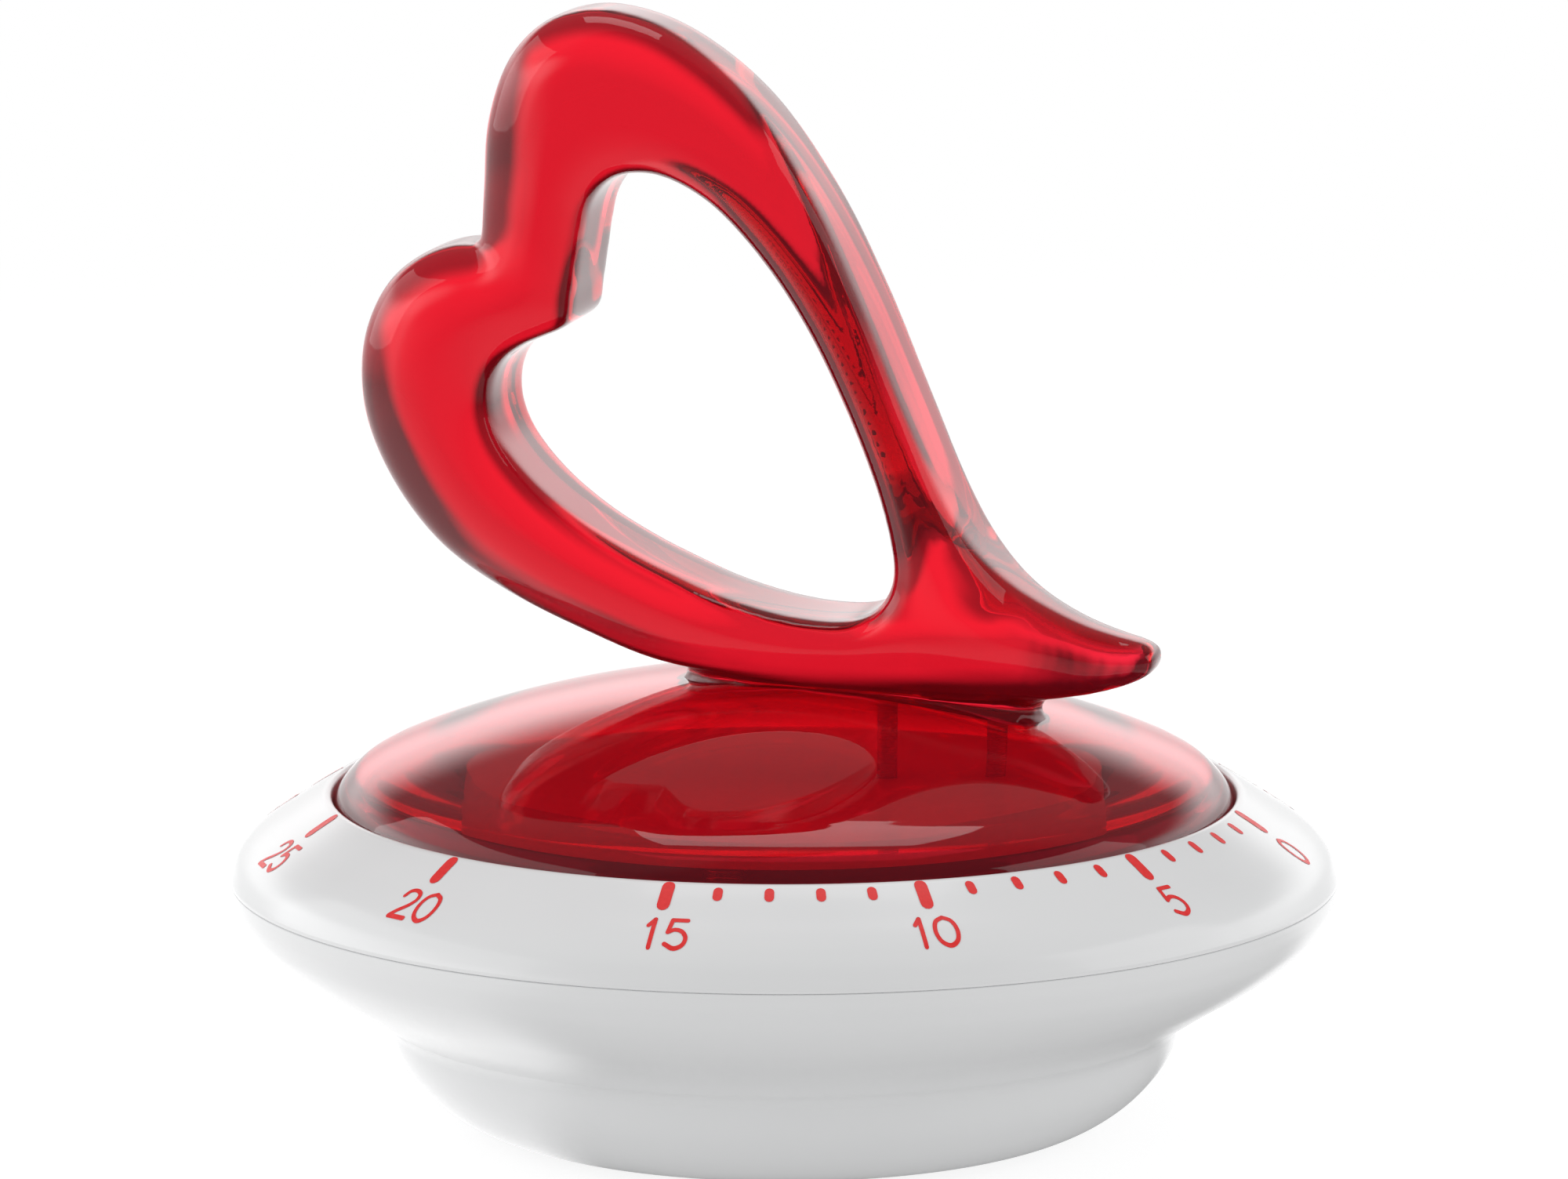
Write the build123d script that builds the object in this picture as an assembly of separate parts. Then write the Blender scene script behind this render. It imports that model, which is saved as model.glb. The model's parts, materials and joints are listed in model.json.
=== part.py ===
from build123d import *
import math
import os

# Kitchen timer: a saucer-shaped white case with a minute scale, a red winding knob made of a
# shallow dome and an open heart handle, and a clockwork movement with a bell inside.
# Frame: origin on the knob's axis at the surface the timer stands on, +Z up, +X towards the
# scale's zero mark. The heart lies in the XZ plane and its tail points along +X at rest.
# All lengths are in millimetres.

# ---------------------------------------------------------------- driving dimensions
CASE_R = 50.2            # widest radius, at the parting line
PARTING_Z = 22.6         # height of the parting line between the two case halves
SEAM = 0.15              # half height and depth of the V groove along the parting line
WALL = 2.2               # wall of the case mouldings
FOOT_R = 36.0            # foot radius where it meets the saucer
FOOT_TOP_Z = 9.9
FLOOR_Z = 0.3            # underside of the base moulding
FLOOR_TOP = 2.4
PAD_R = (20.0, 24.5)     # rubber ring under the foot
PAD_H = 1.2

RIM_Z = 30.4             # inner edge of the dial ring
WELL_R = 40.9            # the well in the dial ring that the knob turns in
SHELF_R = 35.0           # inner edge of the shelf that the carrier is screwed to
SHELF_Z = (23.2, 25.0)
BOSS_R = 2.8
BOSS_LOW = 18.8
CARRIER_R = 40.5
CARRIER_Z = (25.0, 26.8)
CARRIER_SCREW_R = 38.0   # pitch radius of the three carrier screws
CARRIER_SCREW_ANGLES = (30.0, 150.0, 270.0)
BUSH_R = 4.2
BUSH_LOW = 24.0
BUSH_FLANGE = 5.5
BUSH_TOP = 27.2

KNOB_R = 40.4            # outer radius of the dome's skirt
SKIRT_Z = (28.8, 30.0)
DOME_APEX = 41.0
DOME_WALL = 2.2
DOME_BREAK = (34.7, 34.5)    # where the dome's cap turns into its shoulder
SHOULDER = (38.3, 32.74)
RIB_R = (28.9, 30.3)     # rib under the dome that centres the drive disc
RIB_Z = 30.2

DISC_R = 28.6
DISC_Z = (29.8, 31.6)
DISC_RIM = 1.6
DISC_RIM_Z = 28.4
HUB_R = 5.5
HUB_Z = 27.8
STUDS_X = (9.5, 19.5)    # the handle's two studs, which pass through the dome
STUD_R = 3.0
STUD_GAP = 0.15

HEART_T = 14.5           # thickness of the heart along Y
HEART_ROUND = 3.5        # rounding of its outer edges
TAIL_T = 8.0             # thickness of the tail's nose
HOLE_ROUND = 1.4         # rounding of the edges of the heart's opening
NECK_X = (-8.8, 23.8)    # waist of the neck under the heart
NECK_W = 8.0
NECK_LOW, NECK_TOP = 36.0, 44.5
CLEFT = (-27.3, 79.7)    # where the heart's two lobes meet
TAIL_AT = (32.7, 43.75)  # centre of the tail's round nose
TAIL_R = 2.05
TAIL_FROM = 22.0         # X where the tail starts to narrow
HANDLE_SCREW_TIP = 37.5

PLATE_R = 27.3
PLATE_T = 0.8
LOW_PLATE = 7.6          # underside of the lower plate
TOP_PLATE = 16.4         # underside of the upper plate
PILLAR_RING = 25.3
PILLAR_ANGLES = (10.0, 72.0, 172.0, 272.0)
PILLAR_R = 1.6
SCREW_R = 0.9
HEAD_R = 1.9
HEAD_H = 0.8

ARBOR_R = 2.5            # winding arbor
ARBOR_FOOT = 2.0
ARBOR_TOP = 31.0
FLAT_X = 1.7             # D flat on the arbor's end
RUN = 0.06               # radial clearance of every shaft in its hole
STAFF_R = 1.2            # the train's arbors
PIVOT_R = 0.7
STAFF_Z = (8.6, 16.2)

MODULE = 0.4
PINION = 10              # leaves on each pinion
MAIN_TEETH = 70
WHEEL_TEETH = 50
SHIFT = 0.42             # profile shift, plus on pinions and minus on wheels
PRESSURE = math.radians(20)
THINNING = 0.09          # taken off each tooth's thickness at the pitch circle
TIP_GAP = 0.3            # tip clearance, in modules
TALLEST = 1.22           # tallest tooth tip over the pitch circle, in modules: more would be a point
WHEEL_T = 0.7
WHEEL_RIM = 2.2          # from a wheel's pitch circle in to its lightening holes
WHEEL_HUB = 1.6          # from its bore out to them

MAIN_Z = 9.2
MAIN_T = 0.9
CAM_Z = 10.4
CAM_R = 6.5
CAM_T = 0.8
CAM_NOTCH = 70.0         # direction and radius of the cam's one notch
CAM_NOTCH_R = 1.6
CLIP_Z = (15.7, 16.1)
SECOND_Z = 11.5
THIRD_Z = 13.0
ESCAPE_Z = 14.5
SECOND_RING, THIRD_RING, ESCAPE_RING = 16.0, 17.0, 17.5
SECOND_ANGLE = 200.0

ESCAPE_TEETH = 15
ESCAPE_R = 5.0
ESCAPE_DEPTH = 1.2
PALLET_DISTANCE = 8.6
PALLET_RING = 18.0
PALLET_Z = 13.2
PALLET_SPREAD = 52.0     # degrees from the line of centres to each pallet pin
PALLET_PIN_R = 0.35
BALANCE_RING = 18.0
BALANCE_R = 6.0
BALANCE_Z = 11.8
BALANCE_T = 0.9
BALANCE_PIN_R = 0.35
BALANCE_PIN_RING = 2.0
FORK_RATIO = 3.0         # fork length over the balance pin's ring
FORK_GAP = 0.2
HUB_WEB = 2.4            # radius of the levers' hubs

BELL_R = 26.0
BELL_Z = (3.0, 6.0)
BELL_T = 0.6
BELL_CROWN = 1.2         # how far the bell's middle is raised
POST_R = 2.0
POST_TIP_R = 1.2
POST_FLANGE_R = 5.5
POST_RIVET_X, POST_RIVET_R = 4.2, 0.6
HAMMER_AT = (-12.2, 14.6)
HAMMER_HEAD_AT = (-2.0, 22.2)
HAMMER_HEAD_R = 1.5
HAMMER_ROD_R = 0.8
HAMMER_SWING = 12.0
HAMMER_Z = 9.0
STOP_RING, STOP_ANGLE = 20.0, 40.0
STOP_NOSE_RING, STOP_NOSE_ANGLE = 7.9, 70.0

SPRING_Z = (17.6, 21.2)
SPRING_IN, SPRING_T, SPRING_PITCH, SPRING_TURNS = 2.8, 0.35, 0.85, 11
BARREL_R = 13.6
BARREL_TOP = 22.4
BARREL_T = 0.6
HAIRSPRING_IN, HAIRSPRING_T, HAIRSPRING_PITCH, HAIRSPRING_TURNS = 1.5, 0.15, 0.6, 4
HAIRSPRING_Z = (15.2, 15.6)
STUD_Z = 15.0            # lower end of the hairspring's stud

TRAIN_RUN = 0.02         # radial gap of a wheel or lever pressed on its arbor
ON_ARBOR = 0.03          # the same on the winding arbor
SCREW_HOLE = 0.1         # radial clearance of a screw in its hole
SECOND_PINION_Z = (9.0, 10.6)
THIRD_PINION_Z = (10.9, 12.4)
ESCAPE_PINION_Z = (12.5, 14.1)
PILLAR_NUT_H, PILLAR_NUT_FLATS = 1.2, 3.2
BELL_NUT_FLATS = 5.0


# ---------------------------------------------------------------- small helpers
def cyl(r, z0, z1, at=(0, 0)):
    return Pos(at[0], at[1], (z0 + z1) / 2) * Cylinder(r, z1 - z0)


def bore(r, z0, z1, at=(0, 0)):
    """The tool for a hole through everything from z0 to z1: it runs past both faces."""
    return cyl(r, z0 - 1, z1 + 1, at)


def tube(r_in, r_out, z0, z1, at=(0, 0)):
    return cyl(r_out, z0, z1, at) - bore(r_in, z0, z1, at)


def polar(r, degrees):
    a = math.radians(degrees)
    return (r * math.cos(a), r * math.sin(a))


def on_ring(r, angles):
    return [polar(r, a) for a in angles]


def lathe(edges):
    """Solid of revolution about Z from a closed outline in the XZ plane."""
    return revolve(make_face(Plane.XZ * Curve(children=list(edges))), Axis.Z)


def offset(at, r, degrees):
    """The point at a distance and direction from another point."""
    dx, dy = polar(r, degrees)
    return (at[0] + dx, at[1] + dy)


def bearing(a, b):
    """Direction from a to b, in degrees."""
    return math.degrees(math.atan2(b[1] - a[1], b[0] - a[0]))


def next_at(prev_ring, prev_angle, ring, distance):
    """Angle on a ring of the point that is a given distance from the last one, counter-clockwise."""
    cos = (prev_ring**2 + ring**2 - distance**2) / (2 * prev_ring * ring)
    return prev_angle + math.degrees(math.acos(cos))


def bar(a, b, width, z0, z1):
    """A flat link with round ends from a to b."""
    length = math.dist(a, b)
    mid = ((a[0] + b[0]) / 2, (a[1] + b[1]) / 2)
    face = Pos(*mid) * Rot(0, 0, bearing(a, b)) * SlotCenterToCenter(length, width)
    return extrude(Pos(0, 0, z0) * face, z1 - z0)


def save(name, *solids):
    shape = solids[0] if len(solids) == 1 else Compound(children=list(solids))
    shape.label = name
    export_step(shape, f"parts/{name}.step")


# ---------------------------------------------------------------- gears
def involute(a):
    return math.tan(a) - a


def gear_face(teeth, shift, turned):
    """Involute gear with one tooth centred on the angle turned (degrees)."""
    pitch_r = MODULE * teeth / 2
    base_r = pitch_r * math.cos(PRESSURE)
    tip_r = pitch_r + MODULE * min(1 + shift, TALLEST)
    root_r = pitch_r - MODULE * (1 + TIP_GAP - shift)
    half = (math.pi / 2 + 2 * shift * math.tan(PRESSURE)) / teeth - THINNING / 2 / pitch_r

    def flank_angle(r):
        r = max(r, base_r)
        return half + involute(PRESSURE) - involute(math.acos(base_r / r))

    low = max(root_r, base_r)
    radii = (low, (low + tip_r) / 2, tip_r)
    edges = []
    for i in range(teeth):
        mid = math.radians(turned) + 2 * math.pi * i / teeth
        up = [polar(r, math.degrees(mid - flank_angle(r))) for r in radii]
        down = [polar(r, math.degrees(mid + flank_angle(r))) for r in reversed(radii)]
        foot_in = polar(root_r, math.degrees(mid - flank_angle(low)))
        foot_out = polar(root_r, math.degrees(mid + flank_angle(low)))
        next_mid = mid + 2 * math.pi / teeth
        next_foot = polar(root_r, math.degrees(next_mid - flank_angle(low)))
        if low > root_r:
            edges.append(Line(foot_in, up[0]))
        edges.append(ThreePointArc(*up))
        edges.append(ThreePointArc(up[2], polar(tip_r, math.degrees(mid)), down[0]))
        edges.append(ThreePointArc(*down))
        if low > root_r:
            edges.append(Line(down[2], foot_out))
        between = polar(root_r, math.degrees((mid + next_mid) / 2))
        edges.append(ThreePointArc(foot_out, between, next_foot))
    return make_face(Curve(children=edges))


def gear(teeth, shift, at, turned, z0, z1):
    return extrude(Pos(at[0], at[1], z0) * gear_face(teeth, shift, turned), z1 - z0)


def wheel(teeth, at, turned, z0, hole, thickness=WHEEL_T, spokes=4):
    """A thin wheel with round lightening holes between its spokes."""
    z1 = z0 + thickness
    solid = gear(teeth, -SHIFT, at, turned, z0, z1) - bore(hole, z0, z1, at)
    rim = MODULE * teeth / 2 - WHEEL_RIM
    hub = hole + WHEEL_HUB
    for i in range(spokes):
        middle = offset(at, (rim + hub) / 2, turned + 360 * (i + 0.5) / spokes)
        solid -= bore((rim - hub) / 2, z0, z1, middle)
    return solid


def staff(at, z0=STAFF_Z[0], z1=STAFF_Z[1]):
    """An arbor of the train, or one end of it, with its pivot in each plate that it reaches."""
    body = cyl(STAFF_R, z0, z1, at)
    if z0 == STAFF_Z[0]:
        body += cyl(PIVOT_R, LOW_PLATE, z0, at)
    if z1 == STAFF_Z[1]:
        body += cyl(PIVOT_R, z1, TOP_PLATE + PLATE_T, at)
    return body


# ---------------------------------------------------------------- where the train stands
CENTRE = (0.0, 0.0)
SECOND = polar(SECOND_RING, SECOND_ANGLE)
STEP_2_3 = MODULE * (WHEEL_TEETH + PINION) / 2
THIRD_ANGLE = next_at(SECOND_RING, SECOND_ANGLE, THIRD_RING, STEP_2_3)
THIRD = polar(THIRD_RING, THIRD_ANGLE)
ESCAPE_ANGLE = next_at(THIRD_RING, THIRD_ANGLE, ESCAPE_RING, STEP_2_3)
ESCAPE = polar(ESCAPE_RING, ESCAPE_ANGLE)
PALLET_ANGLE = next_at(ESCAPE_RING, ESCAPE_ANGLE, PALLET_RING, PALLET_DISTANCE)
PALLET = polar(PALLET_RING, PALLET_ANGLE)
FORK_REACH = BALANCE_PIN_RING * (FORK_RATIO + 1)
BALANCE_ANGLE = next_at(PALLET_RING, PALLET_ANGLE, BALANCE_RING, FORK_REACH)
BALANCE = polar(BALANCE_RING, BALANCE_ANGLE)
STOP = polar(STOP_RING, STOP_ANGLE)
STOP_NOSE = polar(STOP_NOSE_RING, STOP_NOSE_ANGLE)
STAFFS = [SECOND, THIRD, ESCAPE, PALLET, BALANCE, HAMMER_AT, STOP]
HALF_PITCH = 180.0 / PINION


# ---------------------------------------------------------------- case
def base_shell():
    foot = Spline((26.2, FLOOR_Z), (30.0, 1.65), (33.3, 4.3), (35.2, 7.0), (FOOT_R, FOOT_TOP_Z))
    saucer = Spline(
        (FOOT_R, FOOT_TOP_Z), (41.3, 13.35), (46.2, 16.45), (49.1, 19.3), (CASE_R, PARTING_Z - SEAM),
        tangents=((1, 0.62), (0, 1)), tangent_scalars=(1, 1),
    )
    inner_top = CASE_R - WALL
    inner_saucer = Spline((inner_top, 20.4), (45.2, 18.1), (40.2, 14.9), (35.1, 11.9))
    inner_foot = Spline((35.1, 11.9), (33.0, 7.6), (31.2, 5.1), (26.0, FLOOR_TOP))
    tongue = Polyline(
        (CASE_R - SEAM, PARTING_Z), (inner_top - 0.3, PARTING_Z), (inner_top - 0.3, 23.4),
        (inner_top - 0.05, 23.7), (inner_top - 0.3, 24.2), (inner_top - 1.3, 24.2),
        (inner_top - 1.3, 20.4), (inner_top - 1.3, 20.2), (inner_saucer @ 0.08),
    )
    floor = Polyline(
        (26.0, FLOOR_TOP), (0, FLOOR_TOP), (0, FLOOR_Z), (PAD_R[0], FLOOR_Z), (PAD_R[0], PAD_H),
        (PAD_R[1], PAD_H), (PAD_R[1], FLOOR_Z), (26.2, FLOOR_Z),
    )
    edges = [foot, saucer, Line((CASE_R, PARTING_Z - SEAM), (CASE_R - SEAM, PARTING_Z)), tongue,
             inner_saucer.trim(0.08, 1), inner_foot, floor]
    return lathe(edges)


def dial_ring():
    outer = Spline(
        (WELL_R + 0.3, RIM_Z), (45.3, 28.06), (48.05, 26.2), (49.5, 24.7), (CASE_R, PARTING_Z + SEAM),
        tangents=((1, -0.55), (0, -1)), tangent_scalars=(1, 1),
    )
    inner_top = CASE_R - WALL
    inner = Spline((inner_top, 24.4), (46.2, 25.1), (43.1, 26.6))
    edges = [
        outer,
        Polyline(
            (CASE_R, PARTING_Z + SEAM), (CASE_R - SEAM, PARTING_Z), (inner_top, PARTING_Z),
            (inner_top, 24.4),
        ),
        inner,
        Polyline(
            (43.1, 26.6), (43.1, SHELF_Z[0]), (SHELF_R, SHELF_Z[0]), (SHELF_R, SHELF_Z[1]),
            (WELL_R, SHELF_Z[1]), (WELL_R, RIM_Z - 0.25), (WELL_R + 0.3, RIM_Z),
        ),
    ]
    ring = lathe(edges)
    for at in on_ring(CARRIER_SCREW_R, CARRIER_SCREW_ANGLES):
        ring += cyl(BOSS_R, BOSS_LOW, SHELF_Z[1], at)
        ring -= cyl(SCREW_R + TRAIN_RUN, BOSS_LOW + 1, SHELF_Z[1] + 1, at)
    return ring


def carrier_plate():
    """Dark moulding under the knob that the movement hangs from."""
    disc = cyl(CARRIER_R, *CARRIER_Z) - bore(BUSH_R + 0.05, *CARRIER_Z)
    holes = on_ring(CARRIER_SCREW_R, CARRIER_SCREW_ANGLES) + on_ring(PILLAR_RING, PILLAR_ANGLES)
    for at in holes:
        disc -= bore(SCREW_R + SCREW_HOLE, *CARRIER_Z, at)
    return disc


def screw(at, seat, tip):
    """A cross-recess screw whose head sits on the height seat and whose shank ends at tip."""
    up = 1 if seat > tip else -1
    top = seat + up * HEAD_H
    head = cyl(HEAD_R, *sorted((seat, top)), at)
    head = fillet(head.edges().sort_by(Axis.Z)[-1 if up > 0 else 0], HEAD_H * 0.45)
    cross = Box(HEAD_R * 1.1, 0.4, HEAD_H) + Box(0.4, HEAD_R * 1.1, HEAD_H)
    head -= Pos(at[0], at[1], top) * cross
    return head + cyl(SCREW_R, *sorted((seat, tip)), at)


def nut(at, z0, z1, hole, flats):
    outline = RegularPolygon(flats / 2, 6, major_radius=False)
    hexagon = extrude(Pos(at[0], at[1], z0) * outline, z1 - z0)
    return hexagon - bore(hole, z0, z1, at)


# ---------------------------------------------------------------- knob
def dome_profile():
    """Outer outline of the dome from its apex down to the foot of its skirt."""
    drop = DOME_APEX - DOME_BREAK[1]
    cap_r = (DOME_BREAK[0] ** 2 + drop**2) / 2 / drop
    half = math.asin(DOME_BREAK[0] / cap_r) / 2
    mid = (cap_r * math.sin(half), DOME_APEX - cap_r * (1 - math.cos(half)))
    cap = ThreePointArc((0, DOME_APEX), mid, DOME_BREAK)
    shoulder = TangentArc(DOME_BREAK, SHOULDER, tangent=cap % 1)
    edge = TangentArc(SHOULDER, (KNOB_R, SKIRT_Z[1]), tangent=shoulder % 1)
    skirt = Line((KNOB_R, SKIRT_Z[1]), (KNOB_R, SKIRT_Z[0]))
    return [cap, shoulder, edge, skirt]


def dome_solid():
    """Everything under the dome's outer surface."""
    close = Polyline((KNOB_R, SKIRT_Z[0]), (0, SKIRT_Z[0]), (0, DOME_APEX))
    return lathe(dome_profile() + [close])


def knob_dome():
    inner_r = KNOB_R - DOME_WALL
    inner = Spline(
        (inner_r, 29.6), (34.2, 32.0), (28.0, 34.35), (15.0, 37.6), (0, DOME_APEX - DOME_WALL),
        tangents=((-0.35, 1), (-1, 0)), tangent_scalars=(1, 1),
    )
    foot = Polyline((KNOB_R, SKIRT_Z[0]), (inner_r, SKIRT_Z[0]), (inner_r, 29.6))
    dome = lathe(dome_profile() + [foot, inner, Line((0, DOME_APEX - DOME_WALL), (0, DOME_APEX))])
    dome += tube(*RIB_R, RIB_Z, 35.0) & (Pos(0, 0, -DOME_WALL / 2) * dome_solid())
    for x in STUDS_X:
        dome -= bore(STUD_R + STUD_GAP, SKIRT_Z[0], DOME_APEX, (x, 0))
    return dome


def slope(degrees):
    return polar(1, degrees)


def heart_outline():
    """The heart's outer edge in its own plane, clockwise from the cleft."""
    up, down = polar(TAIL_R, 80), polar(TAIL_R, -75)
    nose_top = (TAIL_AT[0] + up[0], TAIL_AT[1] + up[1])
    nose_low = (TAIL_AT[0] + down[0], TAIL_AT[1] + down[1])
    upper = Spline(
        CLEFT, (-27.1, 85.0), (-25.6, 94.9), (-17.2, 101.3), (-7.6, 98.2), (4.0, 85.0),
        (10.5, 71.4), (16.5, 57.6), (22.7, 49.9), nose_top,
        tangents=((0, 1), slope(-10)), tangent_scalars=(1, 1),
    )
    nose = ThreePointArc(nose_top, (TAIL_AT[0] + TAIL_R, TAIL_AT[1]), nose_low)
    lower = Spline(
        nose_low, (24.5, 40.4), (17.0, 39.9), (2.8, 41.2), (-8.4, 42.2), (-17.3, 45.0), (-26.7, 49.3),
        (-34.3, 56.1), (-38.5, 66.0), (-36.3, 75.6), (-31.7, 79.1), CLEFT,
        tangents=(slope(195), (1, 0.12)), tangent_scalars=(1, 1),
    )
    return [upper, nose, lower]


def heart_hole():
    """The heart's opening, counter-clockwise from its lower right corner."""
    return Spline(
        (11.3, 52.2), (8.2, 63.4), (4.0, 72.3), (-1.3, 80.3), (-7.3, 85.4), (-12.5, 86.9),
        (-15.8, 85.0), (-17.1, 81.0), (-17.9, 76.6), (-19.8, 73.2), (-23.6, 71.0), (-25.7, 67.0),
        (-24.7, 62.0), (-19.1, 56.0), (-10.4, 51.0), (-1.0, 47.7), (6.5, 46.9), (10.6, 48.6),
        periodic=True,
    )


def upright(curves, half):
    """A plate of the given half thickness in the XZ plane."""
    return extrude(Plane.XZ * make_face(Curve(children=curves)), half, both=True)


def heart_handle():
    heart = upright(heart_outline(), HEART_T / 2)
    sides = [e for e in heart.edges() if abs(abs(e.center().Y) - HEART_T / 2) < 0.01]
    heart = fillet(sides, HEART_ROUND)
    heart -= upright([heart_hole()], HEART_T)
    rims = [e for e in heart.edges().filter_by(GeomType.BSPLINE)
            if abs(abs(e.center().Y) - HEART_T / 2) < 0.01 and e.is_closed]
    heart = fillet(rims, HOLE_ROUND)
    nose_x = TAIL_AT[0] + TAIL_R
    taper = make_face(Polyline(
        (-CASE_R, -HEART_T), (TAIL_FROM, -HEART_T), (TAIL_FROM, -HEART_T / 2), (nose_x, -TAIL_T / 2),
        (nose_x, TAIL_T / 2), (TAIL_FROM, HEART_T / 2), (TAIL_FROM, HEART_T), (-CASE_R, HEART_T),
        close=True,
    ))
    heart &= extrude(Pos(0, 0, NECK_LOW) * taper, 2 * CASE_R)
    mid = (NECK_X[0] + NECK_X[1]) / 2
    neck = SlotOverall(NECK_X[1] - NECK_X[0], NECK_W)
    heart += extrude(Pos(mid, 0, NECK_LOW) * neck, NECK_TOP - NECK_LOW)
    heart -= dome_solid()
    for x in STUDS_X:
        heart += cyl(STUD_R, DISC_Z[1], NECK_TOP, (x, 0))
        heart -= cyl(SCREW_R + TRAIN_RUN, DISC_Z[1] - 1, HANDLE_SCREW_TIP + 0.5, (x, 0))
    return heart


def drive_disc():
    """Light plastic disc under the dome: it carries the dome and drives the arbor."""
    disc = cyl(DISC_R, *DISC_Z)
    disc += tube(DISC_R - DISC_RIM, DISC_R, DISC_RIM_Z, DISC_Z[0])
    disc += cyl(HUB_R, HUB_Z, DISC_Z[0])
    disc -= d_shaft(ARBOR_R + ON_ARBOR, FLAT_X + ON_ARBOR, HUB_Z - 1, ARBOR_TOP + 0.1)
    for x in STUDS_X:
        disc -= bore(SCREW_R + SCREW_HOLE, *DISC_Z, (x, 0))
    return disc


def d_shaft(r, flat, z0, z1):
    """A round shaft with one flat on its +X side."""
    cut = Pos(flat + r, 0, (z0 + z1) / 2) * Box(2 * r, 3 * r, z1 - z0 + 2)
    return cyl(r, z0, z1) - cut


def winding_arbor():
    arbor = cyl(ARBOR_R, STAFF_Z[0], HUB_Z) + cyl(ARBOR_FOOT, LOW_PLATE + 0.1, STAFF_Z[0])
    arbor += d_shaft(ARBOR_R, FLAT_X, HUB_Z, ARBOR_TOP)
    return arbor - tube(ARBOR_R - 0.5, ARBOR_R + 1, CLIP_Z[0] - 0.05, CLIP_Z[1] + 0.05)


def retaining_clip():
    """Open ring in the arbor's groove, under the upper plate."""
    clip = tube(ARBOR_R - 0.4, ARBOR_R + 1.1, *CLIP_Z)
    return clip - Pos(5, 0, CLIP_Z[0]) * Box(10, 2.6, 4)


def alarm_cam():
    """Cam with one notch, which lets the stop lever drop when the hour has run out."""
    top = CAM_Z + CAM_T
    cam = cyl(CAM_R, CAM_Z, top) - bore(CAM_NOTCH_R, CAM_Z, top, polar(CAM_R, CAM_NOTCH))
    return cam - bore(ARBOR_R + ON_ARBOR, CAM_Z, top)


# ---------------------------------------------------------------- movement frame
def plate(z, hole):
    """Round movement plate with the pivot holes of the whole train."""
    top = z + PLATE_T
    disc = tube(hole, PLATE_R, z, top)
    for at in STAFFS:
        disc -= bore(PIVOT_R + RUN, z, top, at)
    for at in on_ring(PILLAR_RING, PILLAR_ANGLES):
        disc -= bore(SCREW_R + 0.05, z, top, at)
    return disc


def bottom_plate():
    disc = plate(LOW_PLATE, ARBOR_FOOT + RUN)
    reach = math.dist(HAMMER_AT, HAMMER_HEAD_AT)
    start = bearing(HAMMER_AT, HAMMER_HEAD_AT)
    sweep = CenterArc(HAMMER_AT, reach, start + 2, -HAMMER_SWING - 4)
    slot = SlotArc(sweep, 2 * HAMMER_ROD_R + 0.8)
    disc -= extrude(Pos(0, 0, LOW_PLATE - 1) * slot, PLATE_T + 2)
    for x in (-POST_RIVET_X, POST_RIVET_X):
        disc -= bore(POST_RIVET_R + TRAIN_RUN, LOW_PLATE, LOW_PLATE + PLATE_T, (x, 0))
    return disc


def pillars():
    low, top = LOW_PLATE + PLATE_T, TOP_PLATE
    solids = []
    for at in on_ring(PILLAR_RING, PILLAR_ANGLES):
        body = cyl(PILLAR_R, low, top, at) + cyl(SCREW_R, LOW_PLATE - 1.3, low, at)
        solids.append(body - cyl(SCREW_R + TRAIN_RUN, top - 4.2, top + 1, at))
    return solids


def spacers():
    z0, z1 = TOP_PLATE + PLATE_T, CARRIER_Z[0]
    places = on_ring(PILLAR_RING, PILLAR_ANGLES)
    return [tube(SCREW_R + SCREW_HOLE, PILLAR_R, z0, z1, at) for at in places]


def coil(r0, pitch, turns, thickness, z0, z1):
    """Flat spiral made of half circles about two centres half a pitch apart."""
    def edges(out):
        made = []
        for n in range(turns):
            r = r0 + n * pitch + out
            low = r + pitch / 2
            made.append(ThreePointArc((r, 0), (0, r), (-r, 0)))
            made.append(ThreePointArc((-r, 0), (pitch / 2, -low), (r + pitch, 0)))
        return made

    end = r0 + turns * pitch
    inner, outer = edges(0), edges(thickness)
    caps = [Line((r0, 0), (r0 + thickness, 0)), Line((end, 0), (end + thickness, 0))]
    return extrude(Pos(0, 0, z0) * make_face(Curve(children=inner + outer + caps)), z1 - z0)


def spring_barrel():
    """Fixed drum over the mainspring, standing on the upper plate."""
    z0 = TOP_PLATE + PLATE_T
    drum = tube(BARREL_R - BARREL_T, BARREL_R, z0, BARREL_TOP)
    return drum + tube(ARBOR_R + 0.3, BARREL_R, BARREL_TOP - BARREL_T, BARREL_TOP)


def hairspring():
    """Balance spring: its outer end is held by a stud under the upper plate."""
    spiral = coil(HAIRSPRING_IN, HAIRSPRING_PITCH, HAIRSPRING_TURNS, HAIRSPRING_T, *HAIRSPRING_Z)
    end = HAIRSPRING_IN + HAIRSPRING_PITCH * HAIRSPRING_TURNS
    stud = cyl(0.6, STUD_Z, TOP_PLATE, (end + 0.3, 0))
    return Pos(*BALANCE) * (spiral + stud)


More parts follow.
